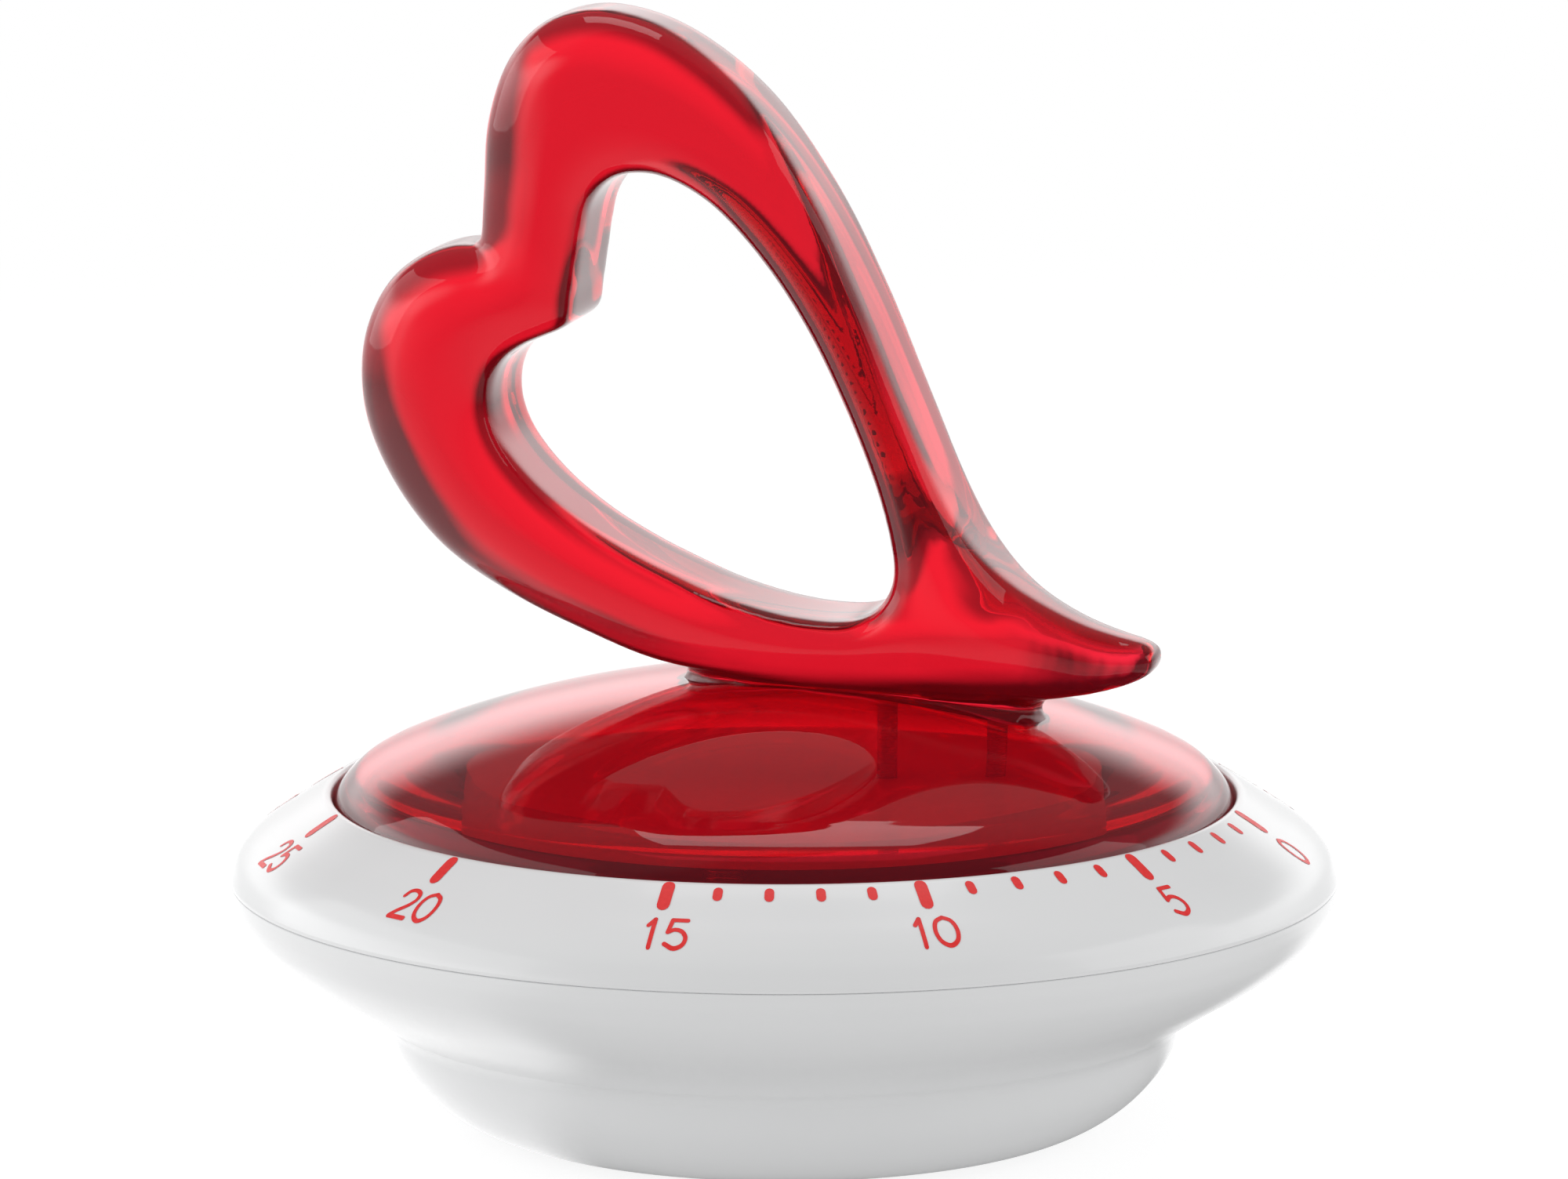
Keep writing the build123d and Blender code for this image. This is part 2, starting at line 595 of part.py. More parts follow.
# ---------------------------------------------------------------- bell and its hammer
def bell_cup():
    low, top = BELL_Z
    r, t = BELL_R, BELL_T
    edges = [
        Polyline((POST_TIP_R + 0.1, low + BELL_CROWN), (5.0, low + BELL_CROWN), (7.0, low), (19.5, low)),
        Spline((19.5, low), (24.2, low + 0.9), (r, top), tangents=((1, 0), (0.25, 1))),
        Polyline((r, top), (r - t, top)),
        Spline((r - t, top), (23.7, low + 1.35), (19.5, low + t), tangents=((-0.25, -1), (-1, 0))),
        Polyline(
            (19.5, low + t), (7.2, low + t), (5.2, low + BELL_CROWN + t),
            (POST_TIP_R + 0.1, low + BELL_CROWN + t), (POST_TIP_R + 0.1, low + BELL_CROWN),
        ),
    ]
    return lathe(edges)


def bell_post():
    """Post riveted under the lower plate."""
    post = cyl(POST_R, BELL_Z[0] + BELL_CROWN + BELL_T, LOW_PLATE)
    post += cyl(POST_TIP_R, BELL_Z[0], LOW_PLATE)
    post += cyl(POST_FLANGE_R, LOW_PLATE - 0.6, LOW_PLATE)
    for x in (-POST_RIVET_X, POST_RIVET_X):
        post += cyl(POST_RIVET_R, LOW_PLATE - 0.3, LOW_PLATE + PLATE_T, (x, 0))
    return post


def lever(at, tip, width, z0):
    """A flat arm with a round hub, bored for its arbor."""
    z1 = z0 + CAM_T
    arm = bar(at, tip, width, z0, z1) + cyl(HUB_WEB, z0, z1, at)
    return arm - bore(STAFF_R + TRAIN_RUN, z0, z1, at)


def hammer_arm():
    return lever(HAMMER_AT, HAMMER_HEAD_AT, 2.4, HAMMER_Z)


def hammer_head():
    rod = cyl(HAMMER_ROD_R, BELL_Z[0] + 3.0, HAMMER_Z, HAMMER_HEAD_AT)
    return rod + cyl(HAMMER_HEAD_R, BELL_Z[0] + 2.0, BELL_Z[0] + 3.8, HAMMER_HEAD_AT)


def stop_lever():
    return lever(STOP, STOP_NOSE, 2.0, CAM_Z)


# ---------------------------------------------------------------- train
def pinion_arbor(at, z0, z1, turned):
    """An arbor with its pinion cut in one piece."""
    ends = staff(at, STAFF_Z[0], z0) + staff(at, z1, STAFF_Z[1])
    return gear(PINION, SHIFT, at, turned, z0, z1) + ends


def escape_wheel():
    """Fifteen pointed teeth that lean forward, on four spokes."""
    points = []
    step = 360 / ESCAPE_TEETH
    root = ESCAPE_R - ESCAPE_DEPTH
    for i in range(ESCAPE_TEETH):
        a = i * step
        points += [polar(ESCAPE_R, a), polar(root, a + 0.15 * step), polar(root, a + 0.75 * step)]
    top = ESCAPE_Z + WHEEL_T
    solid = extrude(Pos(0, 0, ESCAPE_Z) * make_face(Polyline(*points, close=True)), WHEEL_T)
    for at in on_ring(ESCAPE_R / 2, (45, 135, 225, 315)):
        solid -= bore(0.75, ESCAPE_Z, top, at)
    return Pos(*ESCAPE) * (solid - bore(STAFF_R + TRAIN_RUN, ESCAPE_Z, top))


def pallet_pins_at():
    """The two pins, either side of the line from the pallet arbor to the escape wheel."""
    aim = bearing(PALLET, ESCAPE)
    reach = PALLET_DISTANCE * math.cos(math.radians(PALLET_SPREAD))
    pins = []
    for side in (-1, 1):
        pins.append(offset(PALLET, reach, aim + side * PALLET_SPREAD))
    return pins


def pallet_lever():
    """Anchor with two arms for the pins and a fork that straddles the balance pin."""
    z0, z1 = PALLET_Z, PALLET_Z + WHEEL_T
    arms = [bar(PALLET, pin, 1.4, z0, z1) for pin in pallet_pins_at()]
    aim = bearing(PALLET, BALANCE)
    length = BALANCE_PIN_RING * FORK_RATIO
    fork = bar(PALLET, offset(PALLET, length - 0.8, aim), 2.6, z0, z1)
    at = offset(PALLET, length + 1.5, aim)
    slot = Pos(at[0], at[1], z0) * Rot(0, 0, aim) * Box(5.4, 2 * (BALANCE_PIN_R + FORK_GAP), 4)
    anchor = arms[0] + arms[1] + cyl(HUB_WEB, z0, z1, PALLET) + (fork - slot)
    return anchor - bore(STAFF_R + TRAIN_RUN, z0, z1, PALLET)


def pallet_pins():
    z0, z1 = PALLET_Z + WHEEL_T, ESCAPE_Z + WHEEL_T + 0.2
    return [cyl(PALLET_PIN_R, z0, z1, at) for at in pallet_pins_at()]


def balance_wheel():
    z0, z1 = BALANCE_Z, BALANCE_Z + BALANCE_T
    rim = tube(BALANCE_R - 1.0, BALANCE_R, z0, z1, BALANCE)
    hub = cyl(BALANCE_PIN_RING + 0.7, z0, z1, BALANCE)
    arms = Pos(BALANCE[0], BALANCE[1], (z0 + z1) / 2) * Box(2 * BALANCE_R - 1, 1.4, BALANCE_T)
    return rim + hub + arms - bore(STAFF_R + TRAIN_RUN, z0, z1, BALANCE)


def balance_pin():
    """Impulse pin that stands on the balance's hub, in the fork."""
    at = offset(BALANCE, BALANCE_PIN_RING, bearing(BALANCE, PALLET))
    return cyl(BALANCE_PIN_R, BALANCE_Z + BALANCE_T, PALLET_Z + WHEEL_T + 0.3, at)


# ---------------------------------------------------------------- the assembly
def make_case():
    save("base_shell", base_shell())
    save("foot_ring", tube(PAD_R[0] + 0.05, PAD_R[1] - 0.05, 0, PAD_H))
    save("dial_ring", dial_ring())
    save("carrier_plate", carrier_plate())
    top = CARRIER_Z[1]
    places = on_ring(CARRIER_SCREW_R, CARRIER_SCREW_ANGLES)
    save("carrier_screws", *[screw(at, top, BOSS_LOW + 1.2) for at in places])
    bush = tube(ARBOR_R + RUN, BUSH_R, BUSH_LOW, BUSH_TOP) + tube(ARBOR_R + RUN, BUSH_FLANGE, top, BUSH_TOP)
    save("arbor_bush", bush)


def make_knob():
    save("knob_dome", knob_dome())
    save("heart_handle", heart_handle())
    save("handle_screws", *[screw((x, 0), DISC_Z[0], HANDLE_SCREW_TIP) for x in STUDS_X])
    save("drive_disc", drive_disc())
    save("winding_arbor", winding_arbor())
    save("clutch_washer", tube(ARBOR_R + 0.05, HUB_R - 0.5, HUB_Z - 0.35, HUB_Z))
    save("main_wheel", wheel(MAIN_TEETH, CENTRE, SECOND_ANGLE, MAIN_Z, ARBOR_R + ON_ARBOR, MAIN_T, 5))
    save("alarm_cam", alarm_cam())
    save("retaining_clip", retaining_clip())


def make_frame():
    save("bottom_plate", bottom_plate())
    save("top_plate", plate(TOP_PLATE, ARBOR_R + RUN))
    save("plate_pillars", *pillars())
    save("pillar_spacers", *spacers())
    places = on_ring(PILLAR_RING, PILLAR_ANGLES)
    save("movement_screws", *[screw(at, CARRIER_Z[1], TOP_PLATE - 4.0) for at in places])
    low = LOW_PLATE - PILLAR_NUT_H
    nuts = [nut(at, low, LOW_PLATE, SCREW_R + TRAIN_RUN, PILLAR_NUT_FLATS) for at in places]
    save("pillar_nuts", *nuts)
    save("spring_barrel", spring_barrel())
    save("mainspring", coil(SPRING_IN, SPRING_PITCH, SPRING_TURNS, SPRING_T, *SPRING_Z))
    save("hairspring", hairspring())
    save("bell_cup", bell_cup())
    save("bell_post", bell_post())
    crown = BELL_Z[0] + BELL_CROWN
    save("bell_nut", nut(CENTRE, BELL_Z[0], crown, POST_TIP_R + TRAIN_RUN, BELL_NUT_FLATS))


def make_train():
    hole = STAFF_R + TRAIN_RUN
    save("second_arbor", pinion_arbor(SECOND, *SECOND_PINION_Z, bearing(SECOND, CENTRE) + HALF_PITCH))
    save("second_wheel", wheel(WHEEL_TEETH, SECOND, bearing(SECOND, THIRD), SECOND_Z, hole))
    save("third_arbor", pinion_arbor(THIRD, *THIRD_PINION_Z, bearing(THIRD, SECOND) + HALF_PITCH))
    save("third_wheel", wheel(WHEEL_TEETH, THIRD, bearing(THIRD, ESCAPE), THIRD_Z, hole))
    save("escape_arbor", pinion_arbor(ESCAPE, *ESCAPE_PINION_Z, bearing(ESCAPE, THIRD) + HALF_PITCH))
    save("escape_wheel", escape_wheel())
    save("pallet_arbor", staff(PALLET))
    save("pallet_lever", pallet_lever())
    save("pallet_pins", *pallet_pins())
    save("balance_staff", staff(BALANCE))
    save("balance_wheel", balance_wheel())
    save("balance_pin", balance_pin())
    save("hammer_arbor", staff(HAMMER_AT))
    save("hammer_arm", hammer_arm())
    save("hammer_head", hammer_head())
    save("stop_arbor", staff(STOP))
    save("stop_lever", stop_lever())


os.makedirs("parts", exist_ok=True)
make_case()
make_knob()
make_frame()
make_train()
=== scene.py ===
import json
import math

import bmesh
import bpy
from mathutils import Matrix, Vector
from mathutils.bvhtree import BVHTree


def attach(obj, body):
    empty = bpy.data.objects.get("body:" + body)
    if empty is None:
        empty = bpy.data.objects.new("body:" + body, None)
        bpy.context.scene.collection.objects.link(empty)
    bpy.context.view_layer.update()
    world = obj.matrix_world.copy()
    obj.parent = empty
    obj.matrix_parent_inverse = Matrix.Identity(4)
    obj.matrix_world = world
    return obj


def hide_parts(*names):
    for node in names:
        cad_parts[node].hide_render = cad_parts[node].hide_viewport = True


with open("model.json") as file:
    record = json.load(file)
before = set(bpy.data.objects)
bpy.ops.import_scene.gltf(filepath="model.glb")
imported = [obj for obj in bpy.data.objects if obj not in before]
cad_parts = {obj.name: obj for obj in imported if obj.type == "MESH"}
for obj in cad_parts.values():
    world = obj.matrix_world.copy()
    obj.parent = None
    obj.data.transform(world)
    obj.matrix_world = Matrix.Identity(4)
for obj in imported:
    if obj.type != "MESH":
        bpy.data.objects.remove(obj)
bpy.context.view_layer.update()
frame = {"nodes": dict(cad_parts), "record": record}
MM = 0.001


# ---------------------------------------------------------------- camera and studio
CAMERA_DISTANCE = 0.900          # from the point it is measured to
CAMERA_ELEVATION = 11.53
CAMERA_AZIMUTH = 13.7
CAMERA_TARGET = Vector((0, 0, 0.030))
CAMERA_LENS = 228.2
CAMERA_RAISE = 1.175             # degrees: the view is centred above the target
WALL_EDGE = (math.cos(math.radians(22)), math.cos(math.radians(11)))    # soft edge of the rear wall
FLAG_EDGE = (math.cos(math.radians(42)), math.cos(math.radians(56)))    # outer edge of its dark flags
ROOM_DIM = 0.10                  # brightness of the room above and in front of the walls
REAR = CAMERA_AZIMUTH + 180
SWEEP = REAR + 32                # middle of the white wall that the gloss mirrors: it goes round to the left
SWEEP_EDGE = (-0.42, -0.10)

# name, azimuth, elevation, distance, size and radiance of each light
SOFTBOXES = (
    ("softbox_left", -80, 22, 1.1, (1.5, 0.8), 0.95),
    ("softbox_right", 100, 24, 1.1, (0.8, 0.7), 1.0),
    ("softbox_top", 190, 66, 1.0, (0.50, 0.36), 1.6),
)
SOFTBOX_AIM = Vector((0, 0, 0.04))

# soft steps over the height of a ray (the sine of its elevation): start, end, value below, value above
MIRROR_RISE = (0.03, 0.20, 0.95, 1.70)      # the mirrored wall brightens upwards
MIRROR_TOP = (0.26, 0.46, 1.0, 0.06)        # and ends
WALL_TOP = (0.18, 0.42, 1.0, 0.0)           # the wall that shows through the clear parts ends
MATT_LIGHT = (0.0, 0.6, 0.82, 0.64)         # what lights the matt surfaces
THROUGH_GAIN, THROUGH_BASE = 0.90, 0.07     # brightness of that wall, and of all that isn't wall

FLOOR_DROP = 0.05                           # millimetres; keeps its face off the foot ring's
FLOOR_RADIUS = 6
FLOOR_FADE = (0.10, 0.55)                   # radii between which the floor turns from lit to plain white
FLOOR_REFLECT = (0.42, 0.0)
FLOOR_MATT = (0.38, 0.60)
FLOOR_CAMERA = (0.72, 1.0)
FLOOR_MIRROR = 0.92
FLOOR_CLEAR = (0.12, 0.21, 0.0, 1.0)        # the floor under the timer doesn't glow through the clear parts


def direction(azimuth, elevation):
    a, e = math.radians(azimuth), math.radians(elevation)
    return Vector((math.sin(a) * math.cos(e), -math.cos(a) * math.cos(e), math.sin(e)))


def make_camera():
    data = bpy.data.cameras.new("camera")
    data.lens = CAMERA_LENS
    data.sensor_width = 36
    data.clip_start, data.clip_end = 0.05, 50
    cam = bpy.data.objects.new("camera", data)
    bpy.context.collection.objects.link(cam)
    cam.location = CAMERA_TARGET + direction(CAMERA_AZIMUTH, CAMERA_ELEVATION) * CAMERA_DISTANCE
    look = -direction(CAMERA_AZIMUTH, CAMERA_ELEVATION - CAMERA_RAISE)
    cam.rotation_mode = "QUATERNION"
    cam.rotation_quaternion = look.to_track_quat("-Z", "Y")
    bpy.context.scene.camera = cam


def softbox(name, azimuth, elevation, distance, size, radiance):
    """A rectangular light of even brightness that faces the timer."""
    data = bpy.data.lights.new(name, "AREA")
    data.shape = "RECTANGLE"
    data.size, data.size_y = size
    data.energy = radiance * math.pi * size[0] * size[1]
    light = bpy.data.objects.new(name, data)
    bpy.context.collection.objects.link(light)
    aim = direction(azimuth, elevation)
    light.location = SOFTBOX_AIM + aim * distance
    light.rotation_euler = aim.to_track_quat("Z", "Y").to_euler()


def math_node(nt, operation, *values):
    """A Math node whose inputs are sockets or numbers."""
    node = nt.nodes.new("ShaderNodeMath")
    node.operation = operation
    for socket, value in zip(node.inputs, values):
        if isinstance(value, (int, float)):
            socket.default_value = value
        else:
            nt.links.new(value, socket)
    return node.outputs[0]


def ease(nt, value, start, end, low, high):
    """A soft step from low to high as the value goes from start to end."""
    span = nt.nodes.new("ShaderNodeMapRange")
    span.interpolation_type = "SMOOTHSTEP"
    for name, number in (("From Min", start), ("From Max", end), ("To Min", low), ("To Max", high)):
        span.inputs[name].default_value = number
    nt.links.new(value, span.inputs["Value"])
    return span.outputs[0]


def around(nt, vector, azimuth):
    """Cosine of the angle in plan between a vector and an azimuth of the studio."""
    flat = nt.nodes.new("ShaderNodeVectorMath")
    flat.operation = "MULTIPLY"
    flat.inputs[1].default_value = (1, 1, 0)
    nt.links.new(vector, flat.inputs[0])
    unit = nt.nodes.new("ShaderNodeVectorMath")
    unit.operation = "NORMALIZE"
    nt.links.new(flat.outputs[0], unit.inputs[0])
    dot = nt.nodes.new("ShaderNodeVectorMath")
    dot.operation = "DOT_PRODUCT"
    dot.inputs[1].default_value = direction(azimuth, 0)
    nt.links.new(unit.outputs[0], dot.inputs[0])
    return dot.outputs["Value"]


def wall_brightness(nt, cosine):
    """What shows through the clear parts: a rear wall, a dark flag on each side, light round the front."""
    wall = ease(nt, cosine, WALL_EDGE[0], WALL_EDGE[1], 0.0, 1.0)
    front = ease(nt, cosine, FLAG_EDGE[0], FLAG_EDGE[1], 0.0, 1.0)
    return math_node(nt, "MAXIMUM", wall, front)


def by_ray(nt, plain, glossy, through, camera):
    """Picks a brightness by the kind of ray that sees it. After a matt surface it is the plain one."""
    path = nt.nodes.new("ShaderNodeLightPath")
    value = plain
    indirect = math_node(nt, "MINIMUM", path.outputs["Diffuse Depth"], 1.0)
    direct = math_node(nt, "SUBTRACT", 1.0, indirect)
    kinds = (("Is Glossy Ray", glossy), ("Is Transmission Ray", through), ("Is Camera Ray", camera))
    for name, seen in kinds:
        is_ray = math_node(nt, "MULTIPLY", path.outputs[name], direct)
        old = math_node(nt, "MULTIPLY", math_node(nt, "SUBTRACT", 1.0, is_ray), value)
        value = math_node(nt, "ADD", old, math_node(nt, "MULTIPLY", is_ray, seen))
    return value


def make_world():
    """White walls low down and a dim room above them, for what the timer mirrors and shows through."""
    world = bpy.data.worlds.new("studio")
    world.use_nodes = True
    world.cycles.sampling_method = "NONE"
    bpy.context.scene.world = world
    nt = world.node_tree
    nt.nodes.clear()
    out = nt.nodes.new("ShaderNodeOutputWorld")
    back = nt.nodes.new("ShaderNodeBackground")
    coord = nt.nodes.new("ShaderNodeTexCoord")
    split = nt.nodes.new("ShaderNodeSeparateXYZ")
    nt.links.new(coord.outputs["Generated"], split.inputs[0])
    height = split.outputs["Z"]
    cosine = around(nt, coord.outputs["Generated"], REAR)
    sweep = ease(nt, around(nt, coord.outputs["Generated"], SWEEP), *SWEEP_EDGE, 0.0, 1.0)
    rise = ease(nt, height, *MIRROR_RISE)
    top = ease(nt, height, *MIRROR_TOP)
    lit = math_node(nt, "MULTIPLY", math_node(nt, "MULTIPLY", rise, top), sweep)
    glossy = math_node(nt, "ADD", lit, ROOM_DIM)
    low = ease(nt, height, *WALL_TOP)
    walls = math_node(nt, "MULTIPLY", wall_brightness(nt, cosine), low)
    through = math_node(nt, "MULTIPLY_ADD", walls, THROUGH_GAIN, THROUGH_BASE)
    plain = ease(nt, height, *MATT_LIGHT)
    nt.links.new(by_ray(nt, plain, glossy, through, 1.0), back.inputs["Strength"])
    nt.links.new(back.outputs[0], out.inputs[0])
    back.inputs[0].default_value = (1, 1, 1, 1)


def make_studio():
    """A softbox overhead, larger dimmer ones on both sides, white walls and a pale floor."""
    for box in SOFTBOXES:
        softbox(*box)
    make_world()
    under = (0, 0, -FLOOR_DROP * MM)
    bpy.ops.mesh.primitive_circle_add(vertices=96, radius=FLOOR_RADIUS, fill_type="NGON", location=under)
    floor = bpy.context.object
    floor.name = "studio_floor"
    floor.data.materials.append(floor_material())


# ---------------------------------------------------------------- materials
def new_material(name):
    mat = bpy.data.materials.new(name)
    mat.use_nodes = True
    nt = mat.node_tree
    return mat, nt, nt.nodes["Principled BSDF"]


def add_bump(nt, bsdf, scale, strength, distance, detail=3.0, stretch=(1, 1, 1)):
    """Fine relief from object-space noise."""
    coord = nt.nodes.new("ShaderNodeTexCoord")
    mapping = nt.nodes.new("ShaderNodeMapping")
    mapping.inputs["Scale"].default_value = stretch
    noise = nt.nodes.new("ShaderNodeTexNoise")
    noise.inputs["Scale"].default_value = scale
    noise.inputs["Detail"].default_value = detail
    bump = nt.nodes.new("ShaderNodeBump")
    bump.inputs["Strength"].default_value = strength
    bump.inputs["Distance"].default_value = distance
    nt.links.new(coord.outputs["Object"], mapping.inputs[0])
    nt.links.new(mapping.outputs[0], noise.inputs["Vector"])
    nt.links.new(noise.outputs["Fac"], bump.inputs["Height"])
    nt.links.new(bump.outputs[0], bsdf.inputs["Normal"])
    return noise


def vary(nt, source, low, high, socket, start=0.35, end=0.65):
    """Feeds a socket a value that runs from low to high with a noise."""
    span = nt.nodes.new("ShaderNodeMapRange")
    span.inputs["From Min"].default_value = start
    span.inputs["From Max"].default_value = end
    span.inputs["To Min"].default_value = low
    span.inputs["To Max"].default_value = high
    nt.links.new(source, span.inputs["Value"])
    nt.links.new(span.outputs[0], socket)


def vary_color(nt, source, low, high, bsdf, start=0.35, end=0.65):
    ramp = nt.nodes.new("ShaderNodeValToRGB")
    ramp.color_ramp.elements[0].position = start
    ramp.color_ramp.elements[0].color = (*low, 1)
    ramp.color_ramp.elements[1].position = end
    ramp.color_ramp.elements[1].color = (*high, 1)
    nt.links.new(source, ramp.inputs[0])
    nt.links.new(ramp.outputs[0], bsdf.inputs["Base Color"])


def floor_material():
    """Pale floor: lit and shadowed near the timer, plain white further off."""
    mat, nt, bsdf = new_material("floor_white")
    mat.cycles.emission_sampling = "NONE"
    bsdf.inputs["Roughness"].default_value = 0.85
    bsdf.inputs["Specular IOR Level"].default_value = 0.0
    coord = nt.nodes.new("ShaderNodeTexCoord")
    length = nt.nodes.new("ShaderNodeVectorMath")
    length.operation = "LENGTH"
    nt.links.new(coord.outputs["Object"], length.inputs[0])
    radius = length.outputs["Value"]
    cosine = around(nt, coord.outputs["Object"], REAR)
    grey = nt.nodes.new("ShaderNodeCombineColor")
    reflect = ease(nt, radius, *FLOOR_FADE, *FLOOR_REFLECT)
    for channel in grey.inputs:
        nt.links.new(reflect, channel)
    nt.links.new(grey.outputs[0], bsdf.inputs["Base Color"])
    plain = ease(nt, radius, *FLOOR_FADE, *FLOOR_MATT)
    sweep = ease(nt, around(nt, coord.outputs["Object"], SWEEP), *SWEEP_EDGE, 0.0, 1.0)
    glossy = math_node(nt, "MULTIPLY_ADD", sweep, FLOOR_MIRROR, ROOM_DIM)
    far = ease(nt, radius, *FLOOR_CLEAR)
    walls = math_node(nt, "MULTIPLY", wall_brightness(nt, cosine), far)
    through = math_node(nt, "MULTIPLY_ADD", walls, THROUGH_GAIN, THROUGH_BASE)
    camera = ease(nt, radius, *FLOOR_FADE, *FLOOR_CAMERA)
    bsdf.inputs["Emission Color"].default_value = (1, 1, 1, 1)
    nt.links.new(by_ray(nt, plain, glossy, through, camera), bsdf.inputs["Emission Strength"])
    return mat


def white_gloss():
    mat, nt, bsdf = new_material("case_white_gloss")
    bsdf.inputs["IOR"].default_value = 1.5
    bsdf.inputs["Coat Weight"].default_value = 0.12
    bsdf.inputs["Coat Roughness"].default_value = 0.06
    noise = add_bump(nt, bsdf, 110, 0.015, 0.00003, detail=1.0)
    vary_color(nt, noise.outputs["Fac"], (0.845, 0.85, 0.855), (0.85, 0.855, 0.86), bsdf)
    vary(nt, noise.outputs["Fac"], 0.20, 0.24, bsdf.inputs["Roughness"])
    return mat


def red_clear():
    """Clear red tinted moulding: the tint is at the surface, with a little more in the thickness."""
    mat, nt, bsdf = new_material("knob_red_clear")
    bsdf.inputs["Base Color"].default_value = (0.985, 0.038, 0.088, 1)
    bsdf.inputs["Transmission Weight"].default_value = 0.92
    bsdf.inputs["IOR"].default_value = 1.49
    noise = add_bump(nt, bsdf, 70, 0.05, 0.00010, detail=1.0)
    vary(nt, noise.outputs["Fac"], 0.010, 0.035, bsdf.inputs["Roughness"])
    volume = nt.nodes.new("ShaderNodeVolumeAbsorption")
    volume.inputs["Color"].default_value = (0.88, 0.10, 0.16, 1)
    volume.inputs["Density"].default_value = 110
    nt.links.new(volume.outputs[0], nt.nodes["Material Output"].inputs["Volume"])
    return mat


def moulded(name, color, roughness, grain=1200, relief=0.12):
    mat, nt, bsdf = new_material(name)
    noise = add_bump(nt, bsdf, grain, relief, 0.00008)
    dark = tuple(c * 0.92 for c in color)
    vary_color(nt, noise.outputs["Fac"], dark, color, bsdf)
    vary(nt, noise.outputs["Fac"], roughness - 0.05, roughness + 0.08, bsdf.inputs["Roughness"])
    return mat


def metal(name, color, roughness, stretch=(1, 1, 30)):
    """Machined or stamped metal with fine lines along one direction."""
    mat, nt, bsdf = new_material(name)
    bsdf.inputs["Metallic"].default_value = 1.0
    noise = add_bump(nt, bsdf, 400, 0.08, 0.00003, stretch=stretch)
    dark = tuple(c * 0.85 for c in color)
    vary_color(nt, noise.outputs["Fac"], dark, color, bsdf)
    vary(nt, noise.outputs["Fac"], roughness - 0.06, roughness + 0.10, bsdf.inputs["Roughness"])
    return mat


def print_red():
    mat, nt, bsdf = new_material("scale_print_red")
    noise = add_bump(nt, bsdf, 2500, 0.05, 0.00002)
    vary_color(nt, noise.outputs["Fac"], (0.84, 0.020, 0.02), (0.90, 0.030, 0.03), bsdf)
    vary(nt, noise.outputs["Fac"], 0.30, 0.40, bsdf.inputs["Roughness"])
    return mat


# ---------------------------------------------------------------- mesh helpers
def smooth_path(points, steps=8):
    """Points along a centripetal Catmull-Rom curve through the given points."""
    pts = [Vector(p) for p in points]
    pts = [pts[0] * 2 - pts[1]] + pts + [pts[-1] * 2 - pts[-2]]
    out = []
    for i in range(1, len(pts) - 2):
        p0, p1, p2, p3 = pts[i - 1:i + 3]
        t1 = (p1 - p0).length ** 0.5
        t2 = t1 + (p2 - p1).length ** 0.5
        t3 = t2 + (p3 - p2).length ** 0.5
        for k in range(steps):
            t = t1 + (t2 - t1) * k / steps
            a1 = p0 * ((t1 - t) / t1) + p1 * (t / t1)
            a2 = p1 * ((t2 - t) / (t2 - t1)) + p2 * ((t - t1) / (t2 - t1))
            a3 = p2 * ((t3 - t) / (t3 - t2)) + p3 * ((t - t2) / (t3 - t2))
            b1 = a1 * ((t2 - t) / t2) + a2 * (t / t2)
            b2 = a2 * ((t3 - t) / (t3 - t1)) + a3 * ((t - t1) / (t3 - t1))
            out.append(b1 * ((t2 - t) / (t2 - t1)) + b2 * ((t - t1) / (t2 - t1)))
    out.append(pts[-2])
    return out


def piece_from(name, verts, faces, body, material, smooth=True, sharp=40):
    mesh = bpy.data.meshes.new(name)
    mesh.from_pydata([tuple(v) for v in verts], [], faces)
    bm = bmesh.new()
    bm.from_mesh(mesh)
    bmesh.ops.recalc_face_normals(bm, faces=bm.faces)
    for edge in bm.edges:
        if len(edge.link_faces) == 2 and edge.calc_face_angle() > math.radians(sharp):
            edge.smooth = False
    for face in bm.faces:
        face.smooth = smooth
    bm.to_mesh(mesh)
    bm.free()
    obj = bpy.data.objects.new(name, mesh)
    bpy.context.collection.objects.link(obj)
    mesh.materials.append(material)
    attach(obj, body)
    return obj


def lathe(name, outline, body, material, turns=256):
    """Closed outline of (r, z) in millimetres, turned round the axis. Points on the axis are shared."""
    verts, rings, faces = [], [], []
    for r, z in outline:
        if r < 1e-6:
            verts.append(Vector((0, 0, z)) * MM)
            rings.append([len(verts) - 1] * turns)
            continue
        ring = []
        for i in range(turns):
            a = 2 * math.pi * i / turns
            ring.append(len(verts))
            verts.append(Vector((r * math.cos(a), r * math.sin(a), z)) * MM)
        rings.append(ring)
    for k in range(len(rings)):
        a, b = rings[k], rings[(k + 1) % len(rings)]
        for i in range(turns):
            j = (i + 1) % turns
            quad = []
            for v in (a[i], a[j], b[j], b[i]):
                if v not in quad:
                    quad.append(v)
            if len(quad) > 2:
                faces.append(quad)
    return piece_from(name, verts, faces, body, material)


def arc(center, r, start, end, steps):
    """Points on a circle between two angles in degrees."""
    out = []
    for k in range(steps + 1):
        a = math.radians(start + (end - start) * k / steps)
        out.append((center[0] + r * math.cos(a), center[1] + r * math.sin(a)))
    return out


